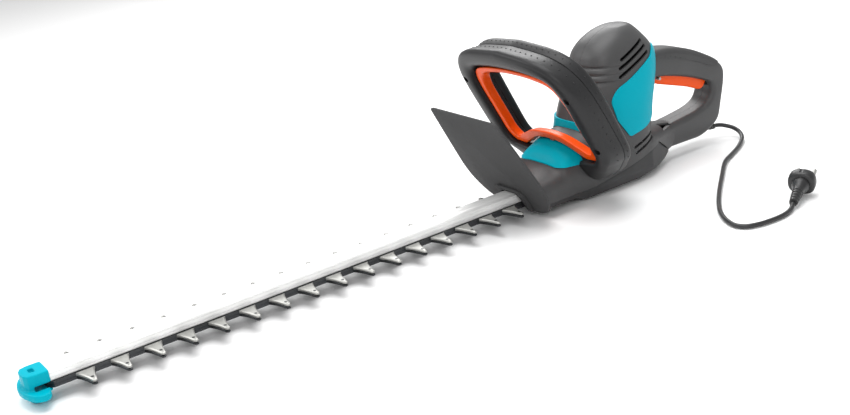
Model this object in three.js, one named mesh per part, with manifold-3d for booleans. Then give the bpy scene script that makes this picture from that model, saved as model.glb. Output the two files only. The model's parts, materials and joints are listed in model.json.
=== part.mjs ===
// Electric hedge trimmer: double-sided reciprocating blades under an aluminium bar, a bail handle with a
// switch ring, an upright motor housing and a D-shaped rear handle.
// Millimetres. +X runs from the blade's tip to the rear handle, +Y to the machine's left, +Z up.
// The origin is on the flat underside, below the motor's axis.
import * as THREE from "three";
import { mergeVertices } from "three/addons/utils/BufferGeometryUtils.js";
import Module from "manifold-3d";

const wasm = await Module();
wasm.setup();

// ---------------------------------------------------------------- driving dimensions
const GAP = 0.3; // between pieces that touch
const RUN = 0.08; // radial clearance of a shaft in its bore
const WALL = 2.6; // moulded shells
// blades and bar
const PITCH = 35; // from tooth to tooth
const TEETH = 16; // on each side
const FIRST_TOOTH = -700; // X of the tooth nearest the tip
const TOOTH_REACH = 41.3; // tooth tip from the centreline
const TOOTH_ROOT = 10; // half width where the tooth leaves the blade
const TOOTH_TIP = 2.8; // half width at the tip
const BLADE_HALF = 15;
const BLADE_THICK = 3;
const BLADE_FRONT = -737;
const BLADE_REAR = -53;
const BLADE_MID_Z = 16.45; // plane between the two blades
const STROKE = 9; // travel of each blade
const BAR_HALF = 12;
const BAR_HEIGHT = 11;
const BAR_FRONT = -741;
const BAR_REAR = -108;
const SCREWS = 7; // that hold the blades to the bar
const SCREW_PITCH = 78;
const FIRST_SCREW = -689;
const SHOULDER_R = 3.5; // the screws' shoulders run in the blades' slots
const SCREW_HEAD_R = 5.5;
// tip guard
const TIP_NOSE = -762;
const TIP_HALF = 30;
const TIP_SLEEVE = -732; // rear end of the sleeve that holds the bar
// hand guard: a plate that leans forward
const GUARD_LEAN = 0.565; // forward travel for each unit of height
const GUARD_THICK = 5;
const GUARD_FOOT_X = -144; // front face at the plate's foot
const GUARD_FOOT_Z = 7;
const GUARD_TOP_Z = 143.5;
// bail handle
const BAIL_LEAN = 0.54;
const BAIL_X = -26.5; // where the seam plane meets Z = 0
const BAIL_FRONT = 31; // depth of the front shell, ahead of the seam
const BAIL_REAR = 14; // depth of the rear shell
const BAIL_HALF = 105; // half width outside
const BAIL_TOP_Z = 205;
const BAIL_ROUND = 7; // rounding of its edges
const RING_DEPTH = 13;
const RING_FRONT = 23; // ring's front face ahead of the seam
const RING_TRAVEL = 2.5;
// housings
const BASE_HALF = 46;
const CASE_FRONT = -149;
const CASE_REAR = -61; // joint between the gear housing and the motor housing
const PAN_REAR = 90;
const PAN_ROUND = 18; // rounding of the pan's lower edges
const HANDLE_HALF = 18; // half thickness of the rear handle
const HANDLE_ROUND = 7.5; // rounding of its edges
// gear train
const MODULE = 1;
const PINION_TEETH = 10;
const WHEEL_TEETH = 60;
const GEAR_Z = 27;
const GEAR_THICK = 7;
const AXLE_R = 5;
const AXLE_FOOT = 3;
const PLATE_Z = [37, 41]; // bearing plate over the gear wheel
const PLATE_FRONT = -125;
const PLATE_REAR = 34;
const PLATE_HALF = 36;
const BAR_BOLT_R = 2.4;
const BAR_BOLTS = [-116]; // X of the bolts that hold the bar to the plate
const ROD_LENGTH = 42;
const ROD_PIN_R = 3;
const ECCENTRIC_R = 11;
const ECCENTRIC_SIDES = 28; // enough for one polygon to turn in the other
const ROD_RING = 4.5; // wall of the ring round each eccentric
// motor
const SHAFT_R = 3;
const PINION_BORE = 2.5;
const STATOR_HALF = 31;
const CORE_R = 18;
const STATOR_Z = [70, 116];
const FAN_R = 30;
const FAN_Z = [56, 65];
const BEARING_R = 9.5;
const LOWER_BEARING_Z = [44, 51];
const UPPER_BEARING_Z = [145, 152];
const COMMUTATOR_Z = [122, 135];
const FRONT_SWITCH_TOP = 62;
// mains lead
const CORD_R = 2.8;
const GLAND_END = 198;
const LEAD_Z = 17;

// worked out from the above
const THROW = STROKE / 2; // eccentric's distance from its axle
const UPPER_BLADE_Z = BLADE_MID_Z + GAP / 2;
const LOWER_BLADE_Z = BLADE_MID_Z - GAP / 2 - BLADE_THICK;
const BAR_Z = UPPER_BLADE_Z + BLADE_THICK + GAP;
const BAR_TOP = BAR_Z + BAR_HEIGHT;
const WHEEL_X = (-MODULE * (PINION_TEETH + WHEEL_TEETH)) / 2; // the motor stands at X = 0
const ROD_PIN_X = WHEEL_X - ROD_LENGTH;

// ---------------------------------------------------------------- materials
const finish = (color, roughness, metalness = 0) =>
  new THREE.MeshStandardMaterial({ color, roughness, metalness });
const DARK = finish(0x4c4c4d, 0.55);
const BLACK = finish(0x1c1c1d, 0.5);
const SOFT = finish(0x3b3b3c, 0.8);
const GRIP = finish(0x232324, 0.65);
const TEAL = finish(0x00b4cc, 0.35);
const ORANGE = finish(0xf4591c, 0.35);
const ALUMINIUM = finish(0xd9dbdc, 0.3, 1);
const STEEL = finish(0x9a9c9e, 0.35, 1);
const DARK_STEEL = finish(0x55575a, 0.4, 1);
const COPPER = finish(0xb8683a, 0.4, 1);
const BRASS = finish(0xc9a55a, 0.35, 1);
const LAMINATION = finish(0x6c6e72, 0.5, 1);

const group = new THREE.Group();
const CORNER_STEPS = 2;
const CLOSEST = 0.9; // outline points nearer than this to the next are left out

// ---------------------------------------------------------------- solids
function solid(geometry) {
  const loose = geometry.index ? geometry.toNonIndexed() : geometry;
  const bare = new THREE.BufferGeometry();
  bare.setAttribute("position", loose.getAttribute("position"));
  const merged = mergeVertices(bare, 1e-4);
  const corners = merged.index.array;
  const triangles = [];
  for (let i = 0; i < corners.length; i += 3) {
    const [a, b, c] = corners.slice(i, i + 3);
    if (a !== b && b !== c && c !== a) triangles.push(a, b, c);
  }
  return new wasm.Manifold(
    new wasm.Mesh({
      numProp: 3,
      vertProperties: merged.attributes.position.array,
      triVerts: new Uint32Array(triangles),
    }),
  );
}

function geometryOf(body) {
  const mesh = body.getMesh();
  const geometry = new THREE.BufferGeometry();
  const positions = new Float32Array(mesh.vertProperties);
  geometry.setAttribute("position", new THREE.BufferAttribute(positions, 3));
  geometry.setIndex(new THREE.BufferAttribute(new Uint32Array(mesh.triVerts), 1));
  const flat = geometry.toNonIndexed();
  flat.computeVertexNormals();
  return flat;
}

function piece(name, body, material) {
  const mesh = new THREE.Mesh(geometryOf(body), material);
  mesh.name = name;
  group.add(mesh);
  return body;
}

const join = (...bodies) => bodies.reduce((all, next) => all.add(next));
const cut = (body, ...tools) => tools.reduce((left, tool) => left.subtract(tool), body);

function box([x0, x1], [y0, y1], [z0, z1]) {
  const geometry = new THREE.BoxGeometry(x1 - x0, y1 - y0, z1 - z0);
  geometry.translate((x0 + x1) / 2, (y0 + y1) / 2, (z0 + z1) / 2);
  return solid(geometry);
}

// An upright cylinder, or a cone with a second radius.
function rod(x, y, [z0, z1], r, sides = 24, topR = r) {
  const geometry = new THREE.CylinderGeometry(topR, r, z1 - z0, sides);
  geometry.rotateX(Math.PI / 2);
  geometry.translate(x, y, (z0 + z1) / 2);
  return solid(geometry);
}

// A closed anticlockwise outline through corners [a, b, radius]; one with a radius is rounded off.
function outline(corners, Type = THREE.Shape, steps = CORNER_STEPS) {
  const points = corners.map(([a, b]) => new THREE.Vector2(a, b));
  const rim = [];
  corners.forEach(([, , radius = 0], i) => {
    const here = points[i];
    if (radius === 0) {
      rim.push(here);
      return;
    }
    const start = toward(here, points[(i + points.length - 1) % points.length], radius);
    const end = toward(here, points[(i + 1) % points.length], radius);
    rim.push(...new THREE.QuadraticBezierCurve(start, here, end).getPoints(steps));
  });
  const apart = rim.filter((point, i) => point.distanceTo(rim[(i + 1) % rim.length]) > CLOSEST);
  return new Type(THREE.ShapeUtils.isClockWise(apart) ? apart.reverse() : apart);
}

function toward(from, to, distance) {
  const reach = Math.min(distance, from.distanceTo(to) / 2);
  return from.clone().lerp(to, reach / from.distanceTo(to));
}

// Corners on both sides of the symmetry plane, from corners on the +Y side listed from the bottom up.
const mirrored = (corners) => [
  ...corners,
  ...corners
    .filter(([y]) => y !== 0)
    .reverse()
    .map(([y, ...rest]) => [-y, ...rest]),
];

// Extrusions of a shape along each axis; bevel rounds the ends, and grow moves every wall outwards.
function extrude(shape, depth, rounding, grow, segments) {
  const bevel = grow === 0 ? rounding : Math.max(rounding, 0.05);
  return new THREE.ExtrudeGeometry(shape, {
    depth: depth - 2 * bevel + 2 * grow,
    bevelEnabled: bevel > 0,
    bevelThickness: bevel,
    bevelSize: bevel,
    bevelOffset: grow - bevel,
    bevelSegments: rounding > 0 ? segments : 1,
    curveSegments: 3,
  }).translate(0, 0, bevel - grow);
}
// With a lean, each point also moves towards -X by its height times the lean.
function alongX(shape, x0, x1, { bevel = 0, grow = 0, segments = 2, lean = 0 } = {}) {
  const turn = new THREE.Matrix4().set(0, -lean, 1, x0, 1, 0, 0, 0, 0, 1, 0, 0, 0, 0, 0, 1);
  return solid(extrude(shape, x1 - x0, bevel, grow, segments).applyMatrix4(turn));
}
function alongY(shape, y0, y1, { bevel = 0, grow = 0, segments = 2 } = {}) {
  const turn = new THREE.Matrix4().set(1, 0, 0, 0, 0, 0, -1, y1, 0, 1, 0, 0, 0, 0, 0, 1);
  return solid(extrude(shape, y1 - y0, bevel, grow, segments).applyMatrix4(turn));
}
function alongZ(shape, z0, z1, { bevel = 0, grow = 0, segments = 2 } = {}) {
  return solid(extrude(shape, z1 - z0, bevel, grow, segments).translate(0, 0, z0));
}

// A body through rings of squarish ovals: { at, a, b, halfA, halfB, square }. Upright rings lie flat at a
// height; the others stand across X.
function loft(rings, upright, sides = 24) {
  const last = rings.length - 1;
  const geometry = new THREE.CylinderGeometry(1, 1, last, sides, last);
  geometry.rotateX(Math.PI / 2);
  const position = geometry.getAttribute("position");
  for (let i = 0; i < position.count; i += 1) {
    const ring = rings[Math.round(position.getZ(i) + last / 2)];
    const rim = Math.hypot(position.getX(i), position.getY(i)) > 0.5 ? 1 : 0;
    const angle = Math.atan2(position.getY(i), position.getX(i));
    const bend = (v) => Math.sign(v) * Math.abs(v) ** (2 / ring.square) * rim;
    const a = ring.a + ring.halfA * bend(Math.cos(angle));
    const b = ring.b + ring.halfB * bend(Math.sin(angle));
    if (upright) position.setXYZ(i, a, b, ring.at);
    else position.setXYZ(i, ring.at, a, b);
  }
  return solid(geometry);
}

// ---------------------------------------------------------------- blades and bar
function bladeOutline() {
  const side = [[BLADE_FRONT, BLADE_HALF - 4], [BLADE_FRONT + 6, BLADE_HALF]];
  for (let i = 0; i < TEETH; i += 1) {
    const x = FIRST_TOOTH + PITCH * i;
    side.push([x - TOOTH_ROOT, BLADE_HALF]);
    side.push([x - TOOTH_TIP, TOOTH_REACH]);
    side.push([x + TOOTH_TIP, TOOTH_REACH]);
    side.push([x + TOOTH_ROOT, BLADE_HALF]);
  }
  side.push([BLADE_REAR, BLADE_HALF]);
  const shape = outline([...side, ...side.map(([x, y]) => [x, -y]).reverse()]);
  for (let i = 0; i < SCREWS; i += 1) {
    const x = FIRST_SCREW + SCREW_PITCH * i;
    const halfLength = THROW + SHOULDER_R + 0.5;
    const half = SHOULDER_R + 0.4;
    shape.holes.push(window(x, halfLength, half, half));
  }
  shape.holes.push(window(ROD_PIN_X, 2 * THROW + ROD_PIN_R + 0.5, THROW + ROD_PIN_R + 0.5, 3));
  return shape;
}

function window(x, halfLength, half, radius) {
  return outline(
    [
      [x - halfLength, -half, radius],
      [x - halfLength, half, radius],
      [x + halfLength, half, radius],
      [x + halfLength, -half, radius],
    ],
    THREE.Path,
  );
}

function blades() {
  const shape = bladeOutline();
  piece("upper_blade", alongZ(shape, UPPER_BLADE_Z, UPPER_BLADE_Z + BLADE_THICK), STEEL);
  piece("lower_blade", alongZ(shape, LOWER_BLADE_Z, LOWER_BLADE_Z + BLADE_THICK), DARK_STEEL);
}

function guideBar() {
  const h = BAR_HALF;
  const z = BAR_Z;
  const t = BAR_TOP;
  const half = [
    [5, z + 2],
    [7, z],
    [h, z],
    [h, t - 2.5],
    [h - 1.2, t - 0.5],
    [h - 2.2, t - 0.5],
    [h - 2.6, t - 1.1],
    [h - 3.0, t],
  ];
  let bar = alongX(outline(mirrored(half)), BAR_FRONT, BAR_REAR);
  for (let i = 0; i < SCREWS; i += 1) {
    bar = cut(bar, rod(FIRST_SCREW + SCREW_PITCH * i, 0, [z - 1, t - 2.5], 2.5, 8));
  }
  bar = cut(bar, ...BAR_BOLTS.map((x) => rod(x, 0, [z + 2.5, t + 1], BAR_BOLT_R + 0.3, 16)));
  piece("guide_bar", bar, ALUMINIUM);
}

function bladeScrews() {
  for (let i = 0; i < SCREWS; i += 1) {
    const x = FIRST_SCREW + SCREW_PITCH * i;
    const head = rod(x, 0, [LOWER_BLADE_Z - GAP - 3.6, LOWER_BLADE_Z - GAP], 4.2, 10, SCREW_HEAD_R);
    const shoulder = rod(x, 0, [LOWER_BLADE_Z - GAP - 0.1, BAR_Z + 2 - GAP], SHOULDER_R, 10);
    const thread = rod(x, 0, [BAR_Z, BAR_TOP - 3], 2.1, 6);
    piece(`blade_screw_${i + 1}`, join(head, shoulder, thread), DARK_STEEL);
  }
}

function tipGuard() {
  const wing = outline([
    [TIP_NOSE, 0, 14],
    [TIP_NOSE + 4, TIP_HALF * 0.6, 14],
    [TIP_NOSE + 12, TIP_HALF, 8],
    [TIP_NOSE + 23, TIP_HALF, 6],
    [TIP_SLEEVE - 3, BAR_HALF + 3, 3],
    [TIP_SLEEVE - 3, -BAR_HALF - 3, 3],
    [TIP_NOSE + 23, -TIP_HALF, 6],
    [TIP_NOSE + 12, -TIP_HALF, 8],
    [TIP_NOSE + 4, -TIP_HALF * 0.6, 14],
  ]);
  const blockTop = BAR_TOP + 1.2;
  const block = outline([
    [TIP_NOSE + 5, 0, 8],
    [TIP_NOSE + 7, BAR_HALF + 1.6, 8],
    [TIP_SLEEVE, BAR_HALF + 1.6, 3],
    [TIP_SLEEVE, -BAR_HALF - 1.6, 3],
    [TIP_NOSE + 7, -BAR_HALF - 1.6, 8],
  ]);
  const keel = outline([
    [TIP_NOSE + 8, 0, 5],
    [TIP_NOSE + 12, 9, 5],
    [TIP_SLEEVE - 4, 9, 4],
    [TIP_SLEEVE - 4, -9, 4],
    [TIP_NOSE + 12, -9, 5],
  ]);
  const lowest = LOWER_BLADE_Z - GAP - 3.4;
  let guard = join(
    alongZ(wing, lowest, lowest + 7, { bevel: 1.5 }),
    alongZ(block, lowest + 0.5, blockTop, { bevel: 1.2 }),
    alongZ(keel, 0, lowest + 3, { bevel: 1.5 }),
  );
  const pocket = [TIP_NOSE + 13, TIP_SLEEVE + 5];
  guard = cut(
    guard,
    box(pocket, [-BLADE_HALF - 1, BLADE_HALF + 1], [LOWER_BLADE_Z - GAP, BAR_Z]),
    box([BAR_FRONT - GAP, TIP_SLEEVE + 5], [-BAR_HALF - GAP, BAR_HALF + GAP], [BAR_Z - 0.1, BAR_TOP + GAP]),
    box([TIP_NOSE + 14, TIP_NOSE + 19], [-4.5, 4.5], [blockTop - 4, blockTop + 1]),
  );
  piece("tip_guard", guard, TEAL);
}

// ---------------------------------------------------------------- hand guard
const guardFront = GUARD_FOOT_X + GUARD_LEAN * GUARD_FOOT_Z; // where its front plane meets Z = 0
const rectangle = ([y0, y1], [z0, z1]) => outline([[y0, z0], [y1, z0], [y1, z1], [y0, z1]]);

function handGuard() {
  const lean = GUARD_LEAN;
  const half = [
    [44, GUARD_FOOT_Z, 14],
    [64, GUARD_FOOT_Z + 15, 16],
    [74, GUARD_FOOT_Z + 40, 16],
    [69, GUARD_FOOT_Z + 80, 40],
    [61, GUARD_TOP_Z, 8],
  ];
  const rear = guardFront + GUARD_THICK;
  const plate = alongX(outline(mirrored(half)), guardFront, rear, { bevel: 1.2, lean });
  const bossHalf = [[24, GUARD_FOOT_Z], [24, BAR_TOP + 7, 8]];
  const boss = alongX(outline(mirrored(bossHalf)), guardFront - 3, rear - 1, { lean });
  const slotHalf = [[BLADE_HALF + 2, 0], [BLADE_HALF + 2, 22, 4], [BAR_HALF + 1.5, BAR_TOP + 1.5, 3]];
  const slot = alongX(outline(mirrored(slotHalf)), guardFront - 9, rear + 9, { lean });
  piece("hand_guard", cut(join(plate, boss), slot), DARK);
}

// Everything from the guard's rear face forwards, which the housings behind it stay clear of.
function aheadOfGuardRear() {
  const rear = guardFront + GUARD_THICK + GAP;
  return alongX(rectangle([-90, 90], [-20, 200]), rear - 80, rear, { lean: GUARD_LEAN });
}

// ---------------------------------------------------------------- bail handle and switch ring
// Half outlines in the seam plane, [Y, Z] from the foot up.
const BAIL_OUTER = [
  [40, 20],
  [73, 42],
  [89, 57],
  [98, 66.5],
  [BAIL_HALF - 1, 81],
  [BAIL_HALF, 103],
  [BAIL_HALF - 0.5, 134],
  [102, 156],
  [97, 171],
  [88, 183.5],
  [73, 193.5],
  [48, 200.5],
];
const BAIL_INNER = [
  [40, 57],
  [74, 61.5, 6],
  [82, 73, 8],
  [81, 92, 14],
  [80, 153, 14],
  [71, 173, 10],
  [40, 179, 20],
];
const BAIL_INNER_TOP = 181;

// The whole tube; the rear shell's top also climbs behind the seam.
function bailTube(grow, bevel, climb = 0, segments = 2) {
  const outer = mirrored([...BAIL_OUTER, [0, BAIL_TOP_Z]]);
  const inner = mirrored([...BAIL_INNER, [0, BAIL_INNER_TOP]]);
  const shape = outline([...outer, ...inner.reverse()]);
  const [x0, x1] = [BAIL_X - BAIL_FRONT, BAIL_X + BAIL_REAR];
  const turn = new THREE.Matrix4().set(0, -BAIL_LEAN, 1, x0, 1, 0, 0, 0, 0, 1, 0, 0, 0, 0, 0, 1);
  const geometry = extrude(shape, x1 - x0, bevel, grow, segments).applyMatrix4(turn);
  const position = geometry.getAttribute("position");
  for (let i = 0; i < position.count; i += 1) {
    const z = position.getZ(i);
    const behind = position.getX(i) - BAIL_X + BAIL_LEAN * z;
    const height = THREE.MathUtils.clamp((z - 90) / 90, 0, 1);
    position.setZ(i, z + climb * behind * height);
  }
  return solid(geometry);
}

// The screws that hold the two shells together: [Y, Z] on the handle's middle line.
const BAIL_SCREWS = [
  [-91, 152],
  [91, 152],
  [-95, 84],
  [95, 84],
];
const SCREW_SHANK = [-16, 8]; // along X from the seam plane
const SCREW_HEAD = [-20, -16];

function alongXRod([y, z], [x0, x1], r, sides = 10) {
  const geometry = new THREE.CylinderGeometry(r, r, x1 - x0, sides);
  geometry.rotateZ(Math.PI / 2);
  geometry.translate(BAIL_X - BAIL_LEAN * z + (x0 + x1) / 2, y, z);
  return solid(geometry);
}

function bailShell(blocked, climb, [x0, x1]) {
  const tube = bailTube(0, BAIL_ROUND, climb);
  let shell = cut(tube, bailTube(-WALL, BAIL_ROUND - 3, climb, 1), blocked);
  const posts = BAIL_SCREWS.map((spot) =>
    alongXRod(spot, [-BAIL_FRONT + WALL + 1, BAIL_REAR - WALL + 1], 5.5).intersect(tube),
  );
  shell = join(shell, ...posts);
  for (const spot of BAIL_SCREWS) {
    shell = cut(
      shell,
      alongXRod(spot, [-BAIL_FRONT - 5, SCREW_HEAD[1] + GAP], 3.8),
      alongXRod(spot, [SCREW_HEAD[1], SCREW_SHANK[1] + GAP], 1.9),
    );
  }
  const side = alongX(rectangle([-150, 150], [0, 250]), BAIL_X + x0, BAIL_X + x1, { lean: BAIL_LEAN });
  return shell.intersect(side);
}

function bail(blocked) {
  piece("bail_front_shell", bailShell(blocked, 0, [-60, -GAP / 2]), GRIP);
  piece("bail_rear_shell", bailShell(blocked, BAIL_LEAN, [GAP / 2, 60]), GRIP);
  BAIL_SCREWS.forEach((spot, i) => {
    const shank = alongXRod(spot, [SCREW_HEAD[1] - 0.1, SCREW_SHANK[1]], 1.5, 8);
    piece(`bail_screw_${i + 1}`, join(alongXRod(spot, SCREW_HEAD, 3.4, 12), shank), DARK_STEEL);
  });
}

// The ring's lower part humps over the gear cover.
function arch(half, top) {
  return [
    [0, top, 12],
    [half * 0.55, top - 3, 8],
    [half, top - 14, 6],
  ];
}

const PLUNGER_HALF = 3;
function switchRing() {
  const gap = 2 * GAP;
  const ringTop = BAIL_INNER_TOP - RING_TRAVEL - gap;
  const outer = BAIL_INNER.slice(1).map(([y, z, r]) => [
    y - gap,
    z > 140 ? z - RING_TRAVEL - gap : z + gap,
    r,
  ]);
  const shape = outline(mirrored([...arch(45, 81), [54, 61, 4], ...outer, [0, ringTop, 30]]));
  const inner = BAIL_INNER.slice(1).map(([y, z, r]) => [y - 9.5, z > 140 ? z - RING_TRAVEL - 6.5 : z + 7, r]);
  shape.holes.push(outline(mirrored([...arch(50, 91), ...inner, [0, ringTop - 6, 30]]), THREE.Path));
  const [x0, x1] = [BAIL_X - RING_FRONT, BAIL_X - RING_FRONT + RING_DEPTH];
  const band = alongX(shape, x0, x1, { bevel: 1.5, segments: 1, lean: BAIL_LEAN });
  const half = PLUNGER_HALF;
  const foot = rectangle([-half, half], [FRONT_SWITCH_TOP + GAP, 86]);
  const plunger = alongX(foot, x0 + 4, x1 - 3, { lean: BAIL_LEAN });
  piece("switch_ring", join(band, plunger), ORANGE);
}

// ---------------------------------------------------------------- housings
const across = (at, half, low, high, square) => ({
  at,
  a: 0,
  halfA: half,
  b: (low + high) / 2,
  halfB: (high - low) / 2,
  square,
});

// Gear housing: low and wide at the front, with a hump that rises to the motor housing.
function gearHump(grow) {
  const low = -10 - grow;
  return loft(
    [
      across(CASE_FRONT - 6 - grow, BASE_HALF - 4 + grow, low, 44 + grow, 4),
      across(-128, BASE_HALF + grow, low, 49 + grow, 4),
      across(-112, BASE_HALF + grow, low, 54 + grow, 3.4),
      across(-104, BASE_HALF + grow, low, 63 + grow, 2.9),
      across(-96, BASE_HALF + grow, low, 70 + grow, 2.6),
      across(-84, BASE_HALF + 1 + grow, low, 76 + grow, 2.5),
      across(-70, BASE_HALF + 2 + grow, low, 82 + grow, 2.5),
      across(-55, BASE_HALF + 2 + grow, low, 88 + grow, 2.5),
    ],
    false,
  );
}

const level = (at, front, rear, half, square = 2.8) => ({
  at,
  a: (front + rear) / 2,
  halfA: (rear - front) / 2,
  b: 0,
  halfB: half,
  square,
});

function tower(grow) {
  const g = grow;
  return loft(
    [
      level(30, -60 - g, 52 + g, 46 + g, 3.4),
      level(60, -62 - g, 54 + g, 47 + g, 3.2),
      level(84, -60 - g, 58 + g, 47 + g),
      level(100, -57 - g, 61 + g, 46 + g),
      level(121, -49 - g, 67 + g, 44 + g),
      level(140, -42 - g, 71 + g, 42 + g),
      level(157, -35 - g, 71 + g, 40 + g),
      level(169, -30 - g, 66 + g, 37 + g),
      level(180, -21 - g, 58 + g, 32 + g, 2.5),
      level(189, -6 - g, 50 + g, 25 + g, 2.3),
      level(195 + g, 12, 42, 14, 2.1),
    ],
    true,
    g < 0 ? 12 : 24,
  );
}

function midBody(grow) {
  const g = grow;
  return loft(
    [
      across(-66 - g, 46 + g, -10 - g, 66 + g, 3.6),
      across(0, 46 + g, -10 - g, 66 + g, 3.6),
      across(40, 43 + g, 0 - g, 62 + g, 3.4),
      across(66, 33 + g, 8 - g, 56 + g, 3),
      across(92, 22 + g, 12 - g, 52 + g, 2.8),
      across(112 + g, 16 + g, 16 - g, 48 + g, 2.6),
    ],
    false,
  );
}

const HANDLE_OUTER = [
  [10, 150, 0],
  [100, 150, 20],
  [146, 137, 30],
  [189, 115, 11],
  [206, 101, 10],
  [205, 81, 10],
  [193, 32, 8],
  [176, 22, 6],
  [158, 16, 8],
  [92, 17, 8],
  [10, 24, 0],
];
const HANDLE_OPENING = [
  [56, 47, 0],
  [100, 48, 20],
  [156, 54, 14],
  [173, 60, 10],
  [181, 74, 6],
  [177, 87, 4],
  [140, 102, 20],
  [88, 116, 20],
  [56, 118, 0],
];

function rearHandle(grow, bevel) {
  const shape = outline(HANDLE_OUTER, THREE.Shape, 3);
  shape.holes.push(outline(HANDLE_OPENING, THREE.Path, 3));
  return alongY(shape, -HANDLE_HALF, HANDLE_HALF, { bevel, grow, segments: grow < 0 ? 1 : 2 });
}

// The joint line between the pan and the housings above it.
const PARTING = [
  [CASE_FRONT - 20, 19],
  [-62, 19],
  [0, 28],
  [58, 41],
  [PAN_REAR, 19],
  [PAN_REAR + 1, -20],
];
function belowParting(lift) {
  const line = PARTING.map(([x, z]) => [x, z + lift]);
  return alongY(outline([[CASE_FRONT - 20, -20], ...line]), -80, 80);
}

function basePanBody(grow) {
  const profile = outline([
    [CASE_FRONT - 30, 8],
    [-84, 5],
    [-72, 0],
    [20, 0],
    [56, 6],
    [PAN_REAR, 16],
    [PAN_REAR + 40, 28],
    [PAN_REAR + 40, 80],
    [CASE_FRONT - 30, 80],
  ]);
  const long = alongY(profile, -BASE_HALF + 1, BASE_HALF - 1, { bevel: PAN_ROUND, grow });
  return long.intersect(
    loft(
      [
        across(CASE_FRONT - grow, BASE_HALF - 3 + grow, -30, 60, 5),
        across(-100, BASE_HALF - 0.5 + grow, -30, 60, 5),
        across(0, BASE_HALF - 0.5 + grow, -30, 60, 5),
        across(40, BASE_HALF - 4 + grow, -30, 60, 5),
        across(66, 32 + grow, -30, 60, 5),
        across(PAN_REAR + grow, 21 + grow, -30, 60, 5),
      ],
      false,
    ),
  );
}

const slab = (x0, x1) => box([x0, x1], [-150, 150], [-50, 300]);
const leftSide = box([-200, 300], [GAP / 2, 150], [-50, 300]);
const rightSide = box([-200, 300], [-150, -GAP / 2], [-50, 300]);
const bladeWay = box([-400, -100], [-BLADE_HALF - 2, BLADE_HALF + 2], [LOWER_BLADE_Z - 5, BAR_TOP + 1]);

// A slot with round ends through a side wall, from one point to another in X and Z.
function ventSlot([x0, z0], [x1, z1], half, [y0, y1]) {
  const along = new THREE.Vector2(x1 - x0, z1 - z0).normalize().multiplyScalar(half);
  const [a, b] = [along.x, along.y];
  const shape = outline([
    [x0 - a - b, z0 - b + a, half],
    [x0 - a + b, z0 - b - a, half],
    [x1 + a + b, z1 + b - a, half],
    [x1 + a - b, z1 + b + a, half],
  ]);
  return alongY(shape, y0, y1);
}

const VENTS = [
  [[-1, 161], [37, 176], 2.2],
  [[-5, 151], [40, 169], 2.2],
  [[-7, 141], [42, 161], 2.2],
  [[8, 42], [43, 52], 1.8],
  [[6, 50], [40, 59.5], 1.8],
];

function gearHousing() {
  const shell = cut(gearHump(0), gearHump(-WALL)).intersect(slab(-200, CASE_REAR - GAP / 2));
  const lid = cut(shell, belowParting(GAP), aheadOfGuardRear(), bladeWay, ringPlungerWay());
  const wallX = guardFront + GUARD_THICK + GAP;
  const wall = alongX(rectangle([-80, 80], [20, 60]), wallX, wallX + WALL, { lean: GUARD_LEAN });
  const frontWall = gearHump(-GAP).intersect(wall);
  piece("gear_housing", join(lid, cut(frontWall, bladeWay, belowParting(GAP))), DARK);
  const skin = cut(gearHump(1.5), gearHump(GAP));
  const bandRear = alongX(rectangle([-80, 80], [52, 200]), -79, -20, { lean: 0.3 });
  const band = skin.intersect(box([-111, -80], [-80, 80], [54, 200]));
  piece("gear_cover_band", cut(band, bandRear, bailTube(GAP, BAIL_ROUND)), TEAL);
}

function ringPlungerWay() {
  const clear = PLUNGER_HALF + 1.5;
  const [x0, x1] = [BAIL_X - RING_FRONT + 1, BAIL_X - RING_FRONT + RING_DEPTH];
  return alongX(rectangle([-clear, clear], [62, 90]), x0, x1, { lean: BAIL_LEAN });
}

const TRIGGER_PIVOT = [86, 113];
const TRIGGER_HALF = 8;
const TRIGGER_PIN_R = 2;
const TRIGGER = [
  [80, 108, 3],
  [90, 103.5, 4],
  [150, 85, 20],
  [164, 78, 4],
  [172, 78, 4],
  [178, 87, 3],
  [174, 96, 8],
  [140, 110, 20],
  [92, 121, 6],
  [80, 119, 3],
];

function rearGripParts() {
  const body = alongY(outline(TRIGGER), -TRIGGER_HALF, TRIGGER_HALF, { bevel: 1.5, segments: 1 });
  const [x, z] = TRIGGER_PIVOT;
  piece("trigger", cut(body, acrossRod(x, z, [-20, 20], TRIGGER_PIN_R + RUN)), ORANGE);
  const pinEnd = HANDLE_HALF - WALL - GAP;
  piece("trigger_pin", acrossRod(x, z, [-pinEnd, pinEnd], TRIGGER_PIN_R), STEEL);
  const skin = cut(rearHandle(1.5, HANDLE_ROUND), rearHandle(GAP, HANDLE_ROUND), tower(GAP));
  const cover = outline(
    [
      [60, 147],
      [114, 134],
      [141, 124.5],
      [160, 117],
      [176, 109],
      [187, 107, 8],
      [200, 116, 6],
      [212, 130],
      [212, 180],
      [60, 180],
    ],
  );
  piece("grip_insert", skin.intersect(alongY(cover, -60, 60)), SOFT);
}

function acrossRod(x, z, [y0, y1], r, sides = 16) {
  const geometry = new THREE.CylinderGeometry(r, r, y1 - y0, sides);
  geometry.translate(x, (y0 + y1) / 2, z);
  return solid(geometry);
}

function triggerWay() {
  const body = (lift) =>
    alongY(outline(TRIGGER.map(([x, z, r]) => [x, z + lift, r])), -TRIGGER_HALF, TRIGGER_HALF, {
      grow: 2,
    });
  return join(body(0), body(3.5), body(7));
}

// The recess on each flank of the rear handle that holds a loop of the extension cord.
function hookRecess(grow) {
  const side = (y0, y1) => box([80 - grow, 102 + grow], [y0 - grow, y1 + grow], [47 - grow, 72]);
  return join(side(-40, -9), side(9, 40));
}

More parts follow.
